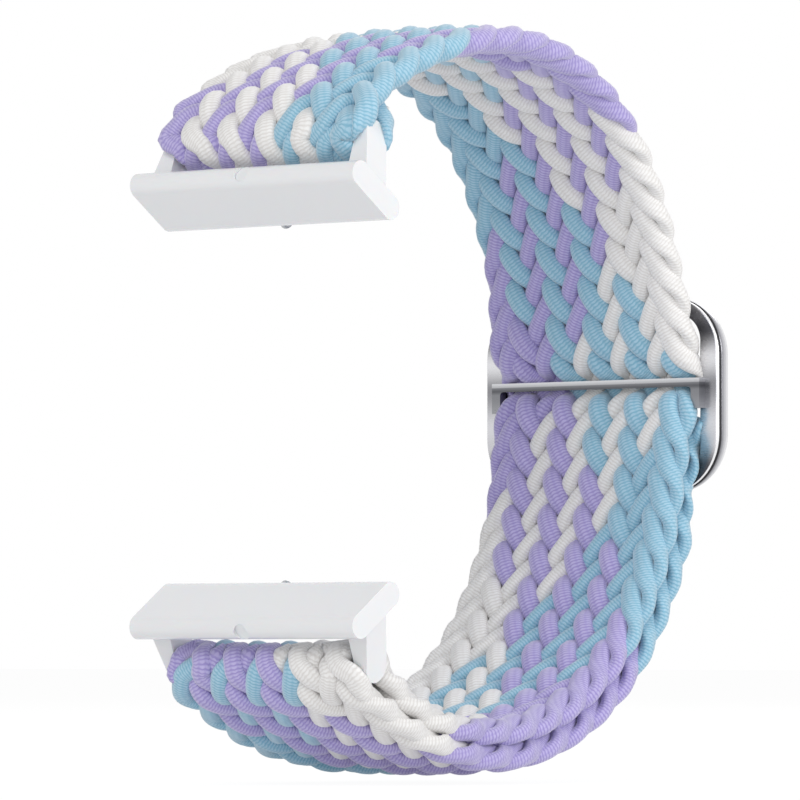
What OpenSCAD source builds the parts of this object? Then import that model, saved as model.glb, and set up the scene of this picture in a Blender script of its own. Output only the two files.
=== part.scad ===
// Braided loop band for a wrist watch. One elastic braid starts at the upper connector, runs over the
// back of the wrist and through a slide buckle, turns round the lower connector's pin and comes back
// up outside itself to the buckle. Origin: centre of the case that the two connectors slide into.
// +X lies along the wrist, +Y points to the back of the loop, +Z to the upper connector.

/* [Braid] */
// Width of the braid
braid_w = 21.4; // [19:0.2:23]
// Thickness of one layer of braid
braid_t = 2.4; // [2:0.1:2.6]
// Gap between two layers of braid that lie on each other
layer_gap = 0.1; // [0.05:0.05:0.2]
// How far each edge of the braid is drawn in round a connector's pin
turn_in = 0.9; // [0.7:0.1:1.5]
// Thickness of the braid where it is pressed round a pin and in the sewn lap
turn_t = 1.5; // [1.2:0.1:2]
// Length of the sewn lap at the upper connector
lap_len = 4; // [4:0.5:8]

/* [Loop] */
// Depth from the case centre to the middle of the braid at the back
loop_y = 46.1; // [44:0.5:50]
// Height of the buckle bar above the case centre
bar_z = 2.8; // [1:0.2:4]
// Radius of the back of the loop, at the middle of the braid
back_r = 36.2; // [34:0.2:39]
// Angle of the back arc above the buckle bar
back_up_a = 31; // [29:0.5:33]
// Angle of the back arc below the buckle bar
back_down_a = 32.5; // [31:0.5:34]
// Radius of the upper shoulder of the loop
upper_r = 20; // [18:0.5:22]
// Angle of the upper shoulder
upper_a = 60; // [57:0.5:62]
// Radius of the lower shoulder, at the middle of the inner layer
lower_r = 22.4; // [21:0.2:24]
// Angle of the lower shoulder
lower_a = 58; // [56:0.5:60]

/* [Buckle] */
// Width of the buckle frame
frame_w = 26.4; // [26:0.1:28]
// Height of the buckle frame
frame_h = 16.9; // [16:0.1:18]
// Thickness of the buckle frame
frame_t = 2.15; // [1.8:0.05:2.6]
// Radius of the frame's outer corners
frame_corner = 5; // [4:0.1:6]
// Height of the frame's top and bottom bars
frame_bar_h = 1.55; // [1.2:0.05:1.9]
// Gap between the side of the braid and the frame's window
window_gap = 0.5; // [0.3:0.05:0.7]
// Radius of the corners of the frame's window
window_corner = 2.2; // [1.6:0.1:2.6]
// Depth of the buckle bar's wrist side in front of the frame's
bar_out = 0.8; // [0.7:0.05:1]
// Drop of the frame's middle below the buckle bar
frame_drop = 1.05; // [0.6:0.05:1.4]
// Height of the buckle bar
bar_h = 0.75; // [0.5:0.05:1]
// Thickness of the buckle bar
bar_t = 0.45; // [0.4:0.05:0.5]
// Height of the blocks at the buckle bar's ends
block_h = 2.65; // [2:0.05:3]
// Width of the blocks at the buckle bar's ends
block_w = 0.95; // [0.8:0.05:1.1]
// Radius of the fillets between the bar and its blocks
bar_fillet = 0.35; // [0.2:0.05:0.4]
// Thickness of the braid where the bar presses into it
bar_press_t = 1.3; // [1.2:0.05:1.4]
// Radius of the pin that holds the end of the braid
end_pin_r = 0.35; // [0.25:0.05:0.4]
// Thickness of the braid where it is pressed round that pin
end_t = 0.9; // [0.8:0.05:0.95]
// Drop of that pin below the buckle bar
end_drop = 4.6; // [4.5:0.05:4.8]

/* [Connectors] */
// Length of a connector's rail
rail_l = 25; // [24:0.2:27]
// Thickness of the rail
rail_t = 2.1; // [2:0.05:2.3]
// Width of the rail
rail_w = 6.7; // [6.2:0.1:7]
// Distance of the rail behind the case centre
rail_y = 2.9; // [2.4:0.1:3.2]
// Height of the rail above or below the case centre
rail_z = 17.3; // [17:0.1:17.6]
// Tilt of the rail towards the wrist
rail_tilt = 35; // [30:1:40]
// Distance of a connector's pin behind the case centre
pin_y = 4.5; // [4.2:0.1:4.8]
// Height of a connector's pin above or below the case centre
pin_z = 22; // [21.8:0.1:22.6]
// Radius of a connector's pin
pin_r = 0.75; // [0.6:0.05:0.9]
// Radius of the ear round the pin
ear_r = 1.3; // [1.2:0.05:1.5]
// How far an ear stands out beside the braid at the pin
ear_out = 0.5; // [0.3:0.05:0.7]
// Clearance between an ear and the braid
ear_gap = 0.2; // [0.1:0.05:0.3]

/* [Latch] */
// Radius of the latch's nose
latch_r = 0.55; // [0.45:0.05:0.6]
// Radius of the latch's collar
collar_r = 0.7; // [0.65:0.05:0.75]
// How far the nose stands out of the rail
latch_out = 0.6; // [0.4:0.05:0.8]
// Wire radius of the latch spring
wire_r = 0.09; // [0.07:0.01:0.12]
// Turns of the latch spring
turns = 5; // [4:1:7]

/* [Hidden] */
$fn = 96;
eps = 0.01;
lap_over = 0.4;  // angle by which neighbouring arcs of one run overlap
run_fit = 0.05;  // radial clearance of a pin or plunger in its hole
fit = 0.02;  // gap between parts that only touch
swing_a = 20;  // a connector turns this far each way on its pin

// Places in the side view are [y, z].
function polar(c, r, a) = [c[0] + r * cos(a), c[1] + r * sin(a)];
function toward(c, p) = atan2(p[1] - c[1], p[0] - c[0]);

arc_c = [loop_y - back_r, bar_z];  // centre of the back arc
layer_step = braid_t + layer_gap;
eye_r = pin_r + run_fit;  // hole that the braid leaves for the pin
turn_r = eye_r + braid_t / 2;  // middle of the braid round the pin
upper_pin_p = [pin_y, pin_z];
lower_pin_p = [pin_y, -pin_z];

// Shoulders, and the last arcs, which are tangent to the turn round each pin
upper_c = polar(arc_c, back_r - upper_r, back_up_a);
upper_end_a = back_up_a + upper_a;
lower_c = polar(arc_c, back_r - lower_r, -back_down_a);
lower_end_a = -back_down_a - lower_a;
// Radius of an arc that leaves q at the angle a of its own radius and touches the circle of radius f
// round p; side is 1 where the circle lies inside the arc and -1 where it lies outside
function touch_r(q, a, p, f, side) = let (d = q - p, m = -[cos(a), sin(a)])
    (f * f - d * d) / (2 * (d * m + side * f));
upper_q = polar(upper_c, upper_r, upper_end_a);
upper_end_r = touch_r(upper_q, upper_end_a, upper_pin_p, turn_r, 1);
upper_end_c = polar(upper_q, -upper_end_r, upper_end_a);
upper_stop_a = toward(upper_end_c, upper_pin_p);
lower_q = polar(lower_c, lower_r, lower_end_a);
lower_end_r = touch_r(lower_q, lower_end_a, lower_pin_p, turn_r, -1);
lower_end_c = polar(lower_q, -lower_end_r, lower_end_a);
lower_stop_a = toward(lower_end_c, lower_pin_p);
return_q = polar(lower_c, lower_r + layer_step, lower_end_a);
return_end_r = touch_r(return_q, lower_end_a, lower_pin_p, turn_r, 1);
return_end_c = polar(return_q, -return_end_r, lower_end_a);
return_stop_a = toward(return_end_c, lower_pin_p);

// Buckle
frame_y = loop_y + braid_t / 2;  // wrist side of the frame
frame_z = bar_z - frame_drop;
window_w = braid_w + 2 * window_gap;
window_h = frame_h - 2 * frame_bar_h;
block_gap = 0.15;  // between the side of the braid and a block
bar_l = braid_w + 2 * block_gap;
bar_gap = 0.05;  // between the bar and the braid behind it
bar_y = frame_y - bar_out;  // wrist side of the buckle bar
end_eye_r = end_pin_r + run_fit;
end_pin_out = 1.3;  // how far the end pin lies behind the frame's wrist side
end_pin_p = [frame_y + end_pin_out, bar_z - end_drop];
seat = 0.8;  // depth of the end pin's seats in the frame
end_pin_l = window_w + 2 * seat;
sill = frame_z - window_h / 2;  // top of the frame's bottom bar

// In the buckle the braid bows outwards, and the bar presses a groove into its wrist side.
stretch_a = 14.5;  // the stretch reaches this far each side of the bar
press_in = bar_y + bar_t + bar_gap - (loop_y - braid_t / 2);
bow = press_in + bar_press_t - braid_t;
bow_half = 6;  // the bow ends this far from the bar
groove_flat = 0.5;  // half the height of the groove's floor
groove_half = 1.9;  // height of each of its sides
function arc_len(a) = back_r * abs(a) * PI / 180;
function fade(s) = pow(cos(90 * min(1, max(0, s))), 2);
function outer_r(a) = back_r + braid_t / 2 + bow * fade(arc_len(a) / bow_half);
function wrist_r(a) = back_r - braid_t / 2 + press_in * fade((arc_len(a) - groove_flat) / groove_half);
return_a = 25;  // the outer layer is free to stretch from here to the buckle

// Connectors, as the upper one; the lower one is its mirror image
rail_p = [rail_y, rail_z];
rail_half = (rail_w - rail_t) / 2;
chamber_r = collar_r + run_fit;
collar_l = 0.4;
nose_round = 0.35;
lip = 0.45;  // wall that holds the collar back
nose_z = rail_w / 2;  // the rail's wrist side edge, across its width
collar_z = nose_z - lip - collar_l;
plug_l = 1.6;
nose_l = nose_z + latch_out - collar_z;
plug_set = 0.3;  // how far the plug lies inside the rail's edge
turn_w = braid_w - 2 * turn_in;  // the braid round a pin
ear_in = turn_w / 2 + ear_gap;
ear_span = braid_w + 2 * ear_out;
pin_set = 0.4;  // how far a pin's end lies inside the outer face of its ear
pin_l = ear_span - 2 * pin_set;

// A flat shape in the side view, drawn out to the width w, centred
module across(w) rotate([90, 0, 90]) linear_extrude(w, center = true) children();

// Part of a ring of middle radius r and thickness t round c, from angle a0 to a1
module bend(c, r, a0, a1, t) {
    far = 3 * (r + t);
    translate(c) intersection() {
        difference() {
            circle(r + t / 2, $fn = 180);
            circle(r - t / 2, $fn = 180);
        }
        polygon([[0, 0], polar([0, 0], far, a0), polar([0, 0], far, (a0 + a1) / 2), polar([0, 0], far, a1)]);
    }
}

// A shoulder that reaches a little way into the arcs at both of its ends, just inside their faces
module shoulder(c, r, a0, a1) bend(c, r, a0 - lap_over, a1 + lap_over, braid_t - eps);

module upper_side() {
    bend(arc_c, back_r, stretch_a, back_up_a, braid_t);
    shoulder(upper_c, upper_r, back_up_a, upper_end_a);
    bend(upper_end_c, upper_end_r, upper_end_a, upper_stop_a, braid_t);
}

module lower_side() {
    bend(arc_c, back_r, -back_down_a, -stretch_a, braid_t);
    shoulder(lower_c, lower_r, lower_end_a, -back_down_a);
    bend(lower_end_c, lower_end_r, lower_stop_a, lower_end_a, braid_t);
}

module return_side() {
    bend(arc_c, back_r + layer_step, -back_down_a, -return_a, braid_t);
    shoulder(lower_c, lower_r + layer_step, lower_end_a, -back_down_a);
    bend(return_end_c, return_end_r, return_stop_a, lower_end_a, braid_t);
}

// Room for both ears of a connector beside the drawn-in braid: round the pin, and along the stem of an
// ear that is turned as far as it goes towards the wrist
room_r = ear_r + ear_gap;
room_w = (braid_w - turn_w) / 2 + 1;
module ear_room(p, a) for (s = [-1, 1]) translate([s * (turn_w + room_w) / 2, p[0], p[1]]) {
    rotate([0, 90, 0]) cylinder(r = room_r, h = room_w, center = true);
    rotate([a, 0, 0]) translate([-room_w / 2, 0, -room_r]) cube([room_w, rail_w, 2 * room_r]);
}

// Upper run of the braid, from the buckle over the top to the upper pin
module upper_band() color("#a9a3d6") difference() {
    across(braid_w) upper_side();
    ear_room(upper_pin_p, stem_a + 180 + swing_a);
}

// The braid's upper end: round the pin and back along the wrist side, where it is sewn down
lap_r = upper_end_r - (braid_t + turn_t) / 2 - layer_gap;
lap_a = lap_len / lap_r * 180 / PI;
module upper_lap() color("#86bdd6") across(turn_w) difference() {
    union() {
        translate(upper_pin_p) circle(eye_r + turn_t);
        bend(upper_end_c, lap_r, upper_stop_a - lap_a, upper_stop_a, turn_t);
    }
    translate(upper_pin_p) circle(eye_r);
    bend(upper_end_c, upper_end_r, upper_end_a, upper_stop_a + eps, braid_t + 2 * layer_gap);
}

// Thread of the two seams that close the lap, on its wrist side
stitch = [1.2, 0.2, 0.4];  // length along the seam, thickness and width of one stitch
stitch_pitch = 1.8;
stitch_n = floor((turn_w - 2) / stitch_pitch);
seam_rows = [0.66, 0.9];  // places of the seams, as shares of the lap's length
module upper_stitches() color("#f1f1ef") for (row = seam_rows, k = [0:stitch_n - 1])
    let (a = upper_stop_a - lap_a * row, p = polar(upper_end_c, lap_r - turn_t / 2 - stitch[1] / 2 - fit, a))
    translate([(k - (stitch_n - 1) / 2) * stitch_pitch, p[0], p[1]]) rotate([a, 0, 0]) cube(stitch, center = true);

// The stretch of braid inside the buckle, which bows out behind the bar
module buckle_stretch() color("#f0f0f2") across(braid_w) polygon(concat(
    [for (a = [-stretch_a:0.5:stretch_a]) polar(arc_c, outer_r(a), a)],
    [for (a = [stretch_a:-0.5:-stretch_a]) polar(arc_c, wrist_r(a), a)]));

// Inner layer, from the buckle down to the lower pin
module lower_band() color("#a9a3d6") difference() {
    across(braid_w) lower_side();
    ear_room(lower_pin_p, 180 - stem_a - swing_a);
}

// The braid where it turns round the lower pin
module lower_turn() color("#f0f0f2") across(turn_w)
    bend(lower_pin_p, eye_r + turn_t / 2, lower_stop_a + 180, return_stop_a + 360, turn_t);

// Outer layer, from the lower pin back up outside the inner one
module return_band() color("#86bdd6") difference() {
    across(braid_w) return_side();
    ear_room(lower_pin_p, 180 - stem_a - swing_a);
}

// The outer layer from where it is free to stretch: pressed flat on the frame's bottom bar, and up to
// the wrist side of the end pin
press_gap = 0.1;  // gap between the pressed braid and the bottom bar
press_t = 1.2;  // thickness of the braid between the bottom bar and the end pin
clear = 1;  // height above the bottom bar where the braid clears the corners of the window
bend_step = 1.6;  // angle between points on the outside of this stretch
module return_stretch() {
    r_in = back_r + braid_t / 2 + layer_gap;
    r_out = r_in + braid_t;
    press_y = frame_y - press_gap;
    join_z = end_pin_p[1] - fit;
    eye_side = end_pin_p[0] - end_eye_r;
    stop_a = toward(arc_c, [frame_y, join_z - end_t]);
    last = polar(arc_c, r_in, stop_a);
    color("#9cc9e0") across(braid_w) polygon(concat(
        [for (k = [0:6]) polar(arc_c, r_in, -return_a + k * (return_a + stop_a) / 6)],
        [[eye_side - end_t, join_z], [eye_side, join_z], [last[0] + press_t, last[1] - end_t]],
        [[last[0] + press_t, sill + clear], [press_y, sill + clear - press_gap]],
        [[press_y, frame_z - frame_h / 2 - frame_bar_h / 3]],
        [for (k = [3:-1:0]) polar(arc_c, r_out, -return_a + k * bend_step)]));
}

// The end of the braid: over the end pin and down its far side, where it is sewn to itself
lap_in = frame_y + 1;  // wrist side of the sewn lap, at its foot
lap_foot = sill + clear + press_gap;
module return_end() color("#9cc9e0") across(braid_w) translate(end_pin_p) difference() {
    foot = [lap_in, lap_foot] - end_pin_p;
    polygon(concat([for (a = [180:-10:0]) polar([0, 0], end_eye_r + end_t, a)],
        [foot + [end_t, 0], foot, [0, 0]]));
    circle(end_eye_r);
}

// Thread of the seam that closes that lap, on its outer side
seam_at = 0.62;  // as a share of the way down to the lap's foot
module end_stitches() {
    from = [end_pin_p[0] + end_eye_r + end_t, end_pin_p[1]];
    to = [lap_in + end_t, lap_foot];
    place = from + (to - from) * seam_at;
    a = toward(to, from);
    n = [sin(a), -cos(a)];
    spot = place + n * (stitch[1] / 2 + fit);
    color("#f1f1ef") for (k = [0:stitch_n - 1])
        translate([(k - (stitch_n - 1) / 2) * stitch_pitch, spot[0], spot[1]]) rotate([a - 180, 0, 0])
            cube([stitch[0], stitch[2], stitch[1]], center = true);
}

module end_pin() color("#9a9da1") translate([0, end_pin_p[0], end_pin_p[1]]) rotate([0, 90, 0])
    cylinder(r = end_pin_r, h = end_pin_l, center = true, $fn = 32);

// A plate in the plane of the frame, from y0 to y1, its outline drawn in by inset
module frame_plate(y0, y1, inset) translate([0, y1, frame_z]) rotate([90, 0, 0]) linear_extrude(y1 - y0)
    rounded(frame_w - 2 * inset, frame_h - 2 * inset, frame_corner - inset);

module rounded(w, h, r) {
    square([w - 2 * r, h], center = true);
    square([w, h - 2 * r], center = true);
    for (x = [-1, 1], y = [-1, 1]) translate([x * (w / 2 - r), y * (h / 2 - r)]) circle(r, $fn = 48);
}

// Steel frame: a flat wrist side plate, a fine groove and a crowned outer face
plate_t = 0.3;
groove_t = 0.35;
groove_d = 0.3;
rim_t = 0.08;  // thickness of the steps that the crown is drawn through
crown = [[0.62, 0], [0.86, 0.25], [1, 0.75]];  // shares of the frame's thickness, and the inset there
module buckle_frame() color("#c8cacd") difference() {
    union() {
        frame_plate(frame_y, frame_y + plate_t, 0);
        frame_plate(frame_y + plate_t - eps, frame_y + plate_t + groove_t + eps, groove_d);
        hull() {
            frame_plate(frame_y + plate_t + groove_t, frame_y + plate_t + groove_t + rim_t, 0);
            for (c = crown) frame_plate(frame_y + frame_t * c[0] - rim_t, frame_y + frame_t * c[0], c[1]);
        }
    }
    translate([0, frame_y + frame_t + 1, frame_z]) rotate([90, 0, 0]) linear_extrude(frame_t + 2)
        rounded(window_w, window_h, window_corner);
    translate([0, end_pin_p[0], end_pin_p[1]]) rotate([0, 90, 0])
        cylinder(r = end_pin_r + fit, h = end_pin_l + 2 * fit, center = true, $fn = 32);
}

// Thin bar across the wrist side of the braid, with a block at each end that sits on the frame and a
// fillet in the corner between them
module buckle_bar() color("#b4b6b9") {
    block_z = bar_z + bar_h / 2 - block_h / 2;
    fillet_t = 0.6 * bar_t;
    translate([0, bar_y + bar_t / 2, bar_z]) cube([bar_l, bar_t, bar_h], center = true);
    for (s = [-1, 1]) {
        translate([s * (bar_l + block_w) / 2, (bar_y + frame_y) / 2, block_z])
            cube([block_w, frame_y - bar_y, block_h], center = true);
        translate([s * bar_l / 2, bar_y + fillet_t, bar_z - bar_h / 2]) rotate([90, 0, 0]) linear_extrude(fillet_t)
            difference() {
                translate([-bar_fillet * (s + 1) / 2, -bar_fillet]) square(bar_fillet);
                translate([-s * bar_fillet, -bar_fillet]) circle(bar_fillet);
            }
    }
}

// A frame at the middle of the rail: X along the rail, Z across its width, to its wrist side edge
module in_rail() translate([0, rail_p[0], rail_p[1]]) rotate([-90 - rail_tilt, 0, 0]) children();

module rail_shape() translate(rail_p) rotate(-rail_tilt) {
    square([2 * rail_half, rail_t], center = true);
    for (s = [-1, 1]) translate([s * rail_half, 0]) circle(rail_t / 2);
}

// Side view of an ear: from the rail out to the pin
stem = upper_pin_p - rail_p;
stem_a = toward(rail_p, upper_pin_p);
module ear_shape() {
    translate(upper_pin_p) circle(ear_r);
    translate(rail_p) rotate(stem_a) translate([0, -ear_r]) square([norm(stem), 2 * ear_r]);
}

// Both ears, narrowing from the rail's length to ear_span at the pin. The ear at +X is closed over the
// end of the pin, which goes in from the other side
module ears() difference() {
    for (s = [-1, 1]) translate([s * (ear_in + rail_l / 2) / 2, 0, 0]) across(rail_l / 2 - ear_in) ear_shape();
    taper = atan((rail_l - ear_span) / 2 / norm(stem));
    for (s = [-1, 1]) translate([s * rail_l / 2, rail_p[0], rail_p[1]]) rotate([stem_a - 90, 0, 0])
        rotate([0, -s * taper, 0]) translate([s * rail_w, 0, norm(stem)])
            cube([2 * rail_w, 2 * rail_w, 2 * norm(stem)], center = true);
}

module connector() difference() {
    union() {
        across(rail_l) rail_shape();
        ears();
    }
    translate([-rail_l, pin_y, pin_z]) rotate([0, 90, 0]) cylinder(r = pin_r + eps, h = rail_l + pin_l / 2 + eps);
    in_rail() translate([0, 0, nose_z - lip - 2 * rail_w]) cylinder(r = chamber_r, h = 2 * rail_w, $fn = 32);
    in_rail() cylinder(r = latch_r + run_fit, h = rail_w, $fn = 32);
}

module pin() translate([0, pin_y, pin_z]) rotate([0, 90, 0]) cylinder(r = pin_r, h = pin_l, center = true);

// Sprung plunger: its collar rests under the lip and its rounded nose stands out of the rail
module latch() in_rail() {
    translate([0, 0, collar_z]) cylinder(r = collar_r, h = collar_l - fit, $fn = 32);
    rotate_extrude($fn = 32) translate([0, collar_z]) intersection() {
        square([latch_r, nose_l]);
        union() {
            square([latch_r - nose_round, nose_l]);
            square([latch_r, nose_l - nose_round]);
            translate([latch_r - nose_round, nose_l - nose_round]) circle(nose_round);
        }
    }
}

module latch_plug() in_rail() translate([0, 0, -nose_z + plug_set]) cylinder(r = chamber_r - eps, h = plug_l, $fn = 32);

// Point i of the spring's wire, and its tube of 6 sides
spring_r = collar_r - wire_r;
spring_from = -nose_z + plug_set + plug_l + wire_r + fit;
spring_to = collar_z - wire_r - fit;
ring_n = 10;
function coil_pt(i, k) = let (a = 360 * i / ring_n, r = spring_r + wire_r * cos(60 * k))
    [r * cos(a), r * sin(a), spring_from + (spring_to - spring_from) * i / (ring_n * turns) + wire_r * sin(60 * k)];
module latch_spring() in_rail() {
    last = ring_n * turns;
    polyhedron(
        points = [for (i = [0:last], k = [0:5]) coil_pt(i, k)],
        faces = concat(
            [[for (k = [0:5]) k]],
            [for (i = [0:last - 1], k = [0:5]) let (a = 6 * i + k, b = 6 * i + (k + 1) % 6) [a, a + 6, b]],
            [for (i = [0:last - 1], k = [0:5]) let (a = 6 * i + k, b = 6 * i + (k + 1) % 6) [b, a + 6, b + 6]],
            [[for (k = [5:-1:0]) 6 * last + k]]));
}

module upper_connector() color("#eef0f1") connector();
module upper_pin() color("#9a9da1") pin();
module upper_latch() color("#b4b6b9") latch();
module upper_latch_spring() color("#8d9094") latch_spring();
module upper_latch_plug() color("#eef0f1") latch_plug();
module lower_connector() color("#eef0f1") mirror([0, 0, 1]) connector();
module lower_pin() color("#9a9da1") mirror([0, 0, 1]) pin();
module lower_latch() color("#b4b6b9") mirror([0, 0, 1]) latch();
module lower_latch_spring() color("#8d9094") mirror([0, 0, 1]) latch_spring();
module lower_latch_plug() color("#eef0f1") mirror([0, 0, 1]) latch_plug();

upper_band();
upper_lap();
upper_stitches();
buckle_stretch();
lower_band();
lower_turn();
return_band();
return_stretch();
return_end();
end_stitches();
end_pin();
buckle_frame();
buckle_bar();
upper_connector();
upper_pin();
upper_latch();
upper_latch_spring();
upper_latch_plug();
lower_connector();
lower_pin();
lower_latch();
lower_latch_spring();
lower_latch_plug();
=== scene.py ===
# Braided loop band for a wrist watch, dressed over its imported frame.
# Lengths in the dictionaries are millimetres, angles are degrees, and points of the side view are (y, z).
import math

import bpy
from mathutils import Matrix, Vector


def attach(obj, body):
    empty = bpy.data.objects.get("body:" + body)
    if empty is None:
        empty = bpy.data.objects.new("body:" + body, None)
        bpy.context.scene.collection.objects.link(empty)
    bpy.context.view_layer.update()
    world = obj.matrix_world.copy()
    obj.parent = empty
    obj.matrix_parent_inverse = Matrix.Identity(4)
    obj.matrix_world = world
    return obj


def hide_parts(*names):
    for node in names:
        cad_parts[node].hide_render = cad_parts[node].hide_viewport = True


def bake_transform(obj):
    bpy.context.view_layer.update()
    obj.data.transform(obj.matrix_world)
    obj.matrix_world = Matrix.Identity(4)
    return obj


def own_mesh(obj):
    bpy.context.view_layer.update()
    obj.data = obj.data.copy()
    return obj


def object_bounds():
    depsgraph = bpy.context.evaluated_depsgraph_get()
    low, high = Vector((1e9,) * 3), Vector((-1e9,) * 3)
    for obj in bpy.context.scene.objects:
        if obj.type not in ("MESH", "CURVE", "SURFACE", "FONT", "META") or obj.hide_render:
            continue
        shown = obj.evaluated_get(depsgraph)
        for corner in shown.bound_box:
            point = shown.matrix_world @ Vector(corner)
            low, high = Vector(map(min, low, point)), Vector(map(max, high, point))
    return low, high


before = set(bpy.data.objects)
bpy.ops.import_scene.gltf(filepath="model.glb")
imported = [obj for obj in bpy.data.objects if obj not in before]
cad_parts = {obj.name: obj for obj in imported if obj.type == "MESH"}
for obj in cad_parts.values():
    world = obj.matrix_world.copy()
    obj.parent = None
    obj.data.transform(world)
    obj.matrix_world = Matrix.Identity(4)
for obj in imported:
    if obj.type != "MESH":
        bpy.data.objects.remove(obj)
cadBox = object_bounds()
mm = 0.001
degree = math.pi / 180
print("frame loaded with", len(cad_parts), "nodes")


def linear(code):  # sRGB hex to linear colour
    parts = [int(code[i : i + 2], 16) / 255 for i in (1, 3, 5)]
    return [c / 12.92 if c <= 0.04045 else ((c + 0.055) / 1.055) ** 2.4 for c in parts] + [1]


def addNode(tree, kind, links=None, **settings):
    # links: input name or number -> output socket, or a plain value for the socket
    made = tree.nodes.new(kind)
    for key, value in settings.items():
        setattr(made, key, value)
    for key, value in (links or {}).items():
        if isinstance(value, bpy.types.NodeSocket):
            tree.links.new(value, made.inputs[key])
        else:
            made.inputs[key].default_value = value
    return made


def newMaterial(name):
    made = bpy.data.materials.new(name)
    made.use_nodes = True
    made.node_tree.nodes.clear()
    return made, made.node_tree


def addToScene(name, data):
    made = bpy.data.objects.new(name, data)
    bpy.context.scene.collection.objects.link(made)
    return made


def meshObject(name, points, faces):
    mesh = bpy.data.meshes.new(name)
    mesh.from_pydata(points, [], faces)
    mesh.shade_smooth()
    mesh.update()
    return addToScene(name, mesh)


# camera and lamps

view = {
    "azimuth": 40.9,
    "elevation": -2.1,
    "distance": 603,
    "target": (0, 20.35, 1.0),
    "lens": 318,
    "sensor": 36,
    "shiftY": -0.0034,  # share of the sensor
    "nearest": 20,
    "farthest": 20000,
}
lamps = {
    "key": {"azimuth": 15, "elevation": 42, "distance": 900, "size": 450, "watts": 2.4},
    "side": {"azimuth": 100, "elevation": 20, "distance": 900, "size": 400, "watts": 3.4},
    "low": {"azimuth": 30, "elevation": 2, "distance": 900, "size": 600, "watts": 1.8},
    "back": {"azimuth": 200, "elevation": 40, "distance": 900, "size": 500, "watts": 1.4},
}


def aimAtTarget(thing, setting):
    a, e = math.radians(setting["azimuth"]), math.radians(setting["elevation"])
    back = Vector((math.sin(a) * math.cos(e), -math.cos(a) * math.cos(e), math.sin(e)))
    thing.rotation_mode = "QUATERNION"
    thing.location = Vector(view["target"]) * mm + back * setting["distance"] * mm
    thing.rotation_quaternion = (-back).to_track_quat("-Z", "Y")


cameraData = bpy.data.cameras.new("camera")
cameraData.lens = view["lens"]
cameraData.sensor_width = view["sensor"]
cameraData.shift_y = view["shiftY"]
cameraData.clip_start = view["nearest"] * mm
cameraData.clip_end = view["farthest"] * mm
camera = addToScene("camera", cameraData)
aimAtTarget(camera, view)
bpy.context.scene.camera = camera
bpy.context.scene.view_settings.view_transform = "Standard"

for lampName, lamp in lamps.items():
    lampData = bpy.data.lights.new(lampName, "AREA")
    lampData.size = lamp["size"] * mm
    lampData.energy = lamp["watts"]
    aimAtTarget(addToScene(lampName, lampData), lamp)

# world and floor: white where they are seen or reflected, and a plain level of light on the object

stageLook = {
    "white": "#ffffff",
    "room": "#ffffff",
    "roomLight": 0.44,
    "floor": "#f4f4f4",
    "floorDrop": 1.2,  # below the object's lowest point
    "floorHalf": 4000,
    "shadowKept": 0.1,  # share of the paper's own shade that is seen
    "glow": 1.045,
    "lit": 0.2,  # share of the glow that lights the object from below
}


def seenRays(tree):  # 1 for rays from the camera, from a reflection or through glass
    path = addNode(tree, "ShaderNodeLightPath")
    seen = path.outputs["Is Camera Ray"]
    for kind in ("Is Glossy Ray", "Is Transmission Ray"):
        either = addNode(tree, "ShaderNodeMath", {0: seen, 1: path.outputs[kind]}, operation="MAXIMUM")
        seen = either.outputs[0]
    return seen


def lightWorld():
    world = bpy.data.worlds.new("studio")
    bpy.context.scene.world = world
    world.use_nodes = True
    tree = world.node_tree
    tree.nodes.clear()
    room = addNode(
        tree, "ShaderNodeBackground", {"Color": linear(stageLook["room"]), "Strength": stageLook["roomLight"]}
    )
    white = addNode(tree, "ShaderNodeBackground", {"Color": linear(stageLook["white"]), "Strength": 1.0})
    both = addNode(tree, "ShaderNodeMixShader", {0: seenRays(tree), 1: room.outputs[0], 2: white.outputs[0]})
    addNode(tree, "ShaderNodeOutputWorld", {0: both.outputs[0]})


def paperMaterial():
    # matt white paper sweep: fades into the white room and keeps a little of the shadow
    made, tree = newMaterial("matt_white_paper_sweep")
    kept = addNode(
        tree, "ShaderNodeMath", {0: seenRays(tree), 1: 1 - stageLook["shadowKept"]}, operation="MULTIPLY"
    )
    share = addNode(tree, "ShaderNodeMath", {0: kept.outputs[0], 1: stageLook["lit"]}, operation="MAXIMUM")
    paper = addNode(tree, "ShaderNodeBsdfDiffuse", {"Color": linear(stageLook["floor"])})
    glow = addNode(
        tree, "ShaderNodeEmission", {"Color": linear(stageLook["white"]), "Strength": stageLook["glow"]}
    )
    both = addNode(
        tree, "ShaderNodeMixShader", {0: share.outputs[0], 1: paper.outputs[0], 2: glow.outputs[0]}
    )
    addNode(tree, "ShaderNodeOutputMaterial", {0: both.outputs[0]})
    return made


lightWorld()
floorZ = cadBox[0].z - stageLook["floorDrop"] * mm
floorHalf = stageLook["floorHalf"] * mm
corners = [(x * floorHalf, y * floorHalf, floorZ) for x, y in ((-1, -1), (1, -1), (1, 1), (-1, 1))]
floor = meshObject("floor", corners, [(0, 1, 2, 3)])
floor.data.materials.append(paperMaterial())
print("camera, floor and lamps are set")

# middle line of the braid in the side view

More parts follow.
